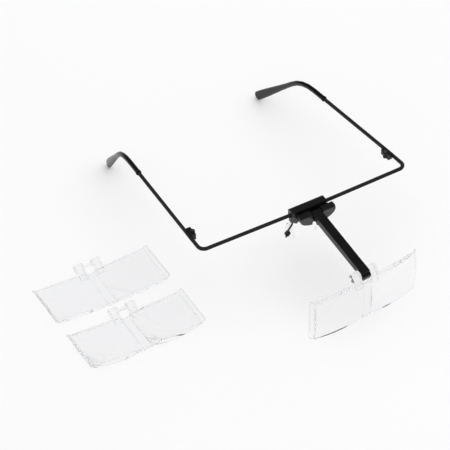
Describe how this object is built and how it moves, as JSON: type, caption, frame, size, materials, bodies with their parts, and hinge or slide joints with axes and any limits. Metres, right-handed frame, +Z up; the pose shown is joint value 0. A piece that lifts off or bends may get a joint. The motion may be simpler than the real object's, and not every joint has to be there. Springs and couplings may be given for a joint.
{
  "type": "head visor magnifier",
  "caption": "Spectacle-frame head magnifier: wire front bar, folding temples, nose pads, flip-up arm with a clear double lens that clips on, and loose lenses of other powers.",
  "frame": {"origin": "middle of the whole set's outline on the surface that it stands on", "axes": "+Z up; the front of the spectacles and the mounted lens face -Y, the temples run back to +Y, the loose lenses lie at -X"},
  "size_m": [0.2467, 0.2199, 0.0527],
  "materials": {
    "clear_acrylic": "polished, clear",
    "clear_soft_plastic": "clear, soft",
    "blackened_steel": "satin black",
    "black_coated_wire": "satin black coating",
    "black_sleeve_plastic": "smooth, glossy",
    "black_moulded_plastic": "moulded, semi-gloss"
  },
  "bodies": {
    "frame": {"frame_wire": "black_coated_wire", "left_hinge_leaf": "black_coated_wire", "right_hinge_leaf": "black_coated_wire", "left_hinge_screw": "blackened_steel", "right_hinge_screw": "blackened_steel", "clip_cap": "black_moulded_plastic", "clip_base": "black_moulded_plastic", "clip_screws": "blackened_steel", "arm_bracket": "black_moulded_plastic", "bracket_screws": "blackened_steel", "arm_pin": "blackened_steel", "left_nose_wire": "black_coated_wire", "right_nose_wire": "black_coated_wire", "left_pad_box": "black_coated_wire", "right_pad_box": "black_coated_wire"},
    "left_temple": {"left_temple_wire": "black_coated_wire", "left_temple_eye": "black_coated_wire", "left_temple_tip": "black_sleeve_plastic"},
    "right_temple": {"right_temple_wire": "black_coated_wire", "right_temple_eye": "black_coated_wire", "right_temple_tip": "black_sleeve_plastic"},
    "arm": {"lens_arm": "black_moulded_plastic"},
    "lens": {"mounted_lens": "clear_acrylic"},
    "left_pad": {"left_nose_pad": "clear_soft_plastic"},
    "right_pad": {"right_nose_pad": "clear_soft_plastic"},
    "weak_spare": {"weak_spare_lens": "clear_acrylic"},
    "strong_spare": {"strong_spare_lens": "clear_acrylic"}
  },
  "joints": [
    {"name": "left_temple_fold", "type": "hinge", "parent": "frame", "child": "left_temple", "pos_m": [-0.02734, -0.02683, 0.04832], "axis": [0, -0.0506, -0.9987], "range_deg": [0, 88]},
    {"name": "right_temple_fold", "type": "hinge", "parent": "frame", "child": "right_temple", "pos_m": [0.11792, -0.02705, 0.04833], "axis": [0, 0.0506, 0.9987], "range_deg": [0, 79]},
    {"name": "arm_flip", "type": "hinge", "parent": "frame", "child": "arm", "pos_m": [0.05055, -0.05049, 0.0479], "axis": [-1, 0, 0], "range_deg": [0, 100]},
    {"name": "lens_tilt", "type": "hinge", "parent": "arm", "child": "lens", "pos_m": [0.05497, -0.10103, 0.0348], "axis": [0.9962, 0.0872, 0], "range_deg": [-40, 40]},
    {"name": "left_pad_rock", "type": "hinge", "parent": "frame", "child": "left_pad", "pos_m": [0.03735, -0.03989, 0.0292], "axis": [-0.866, -0.5, 0], "range_deg": [-12, 12]},
    {"name": "right_pad_rock", "type": "hinge", "parent": "frame", "child": "right_pad", "pos_m": [0.05735, -0.03989, 0.0292], "axis": [0.866, -0.5, 0], "range_deg": [-12, 12]},
    {"name": "weak_spare_lift", "type": "slide", "parent": "frame", "child": "weak_spare", "axis": [0, 0, 1], "range_m": [0, 0.08]},
    {"name": "strong_spare_lift", "type": "slide", "parent": "frame", "child": "strong_spare", "axis": [0, 0, 1], "range_m": [0, 0.08]}
  ]
}
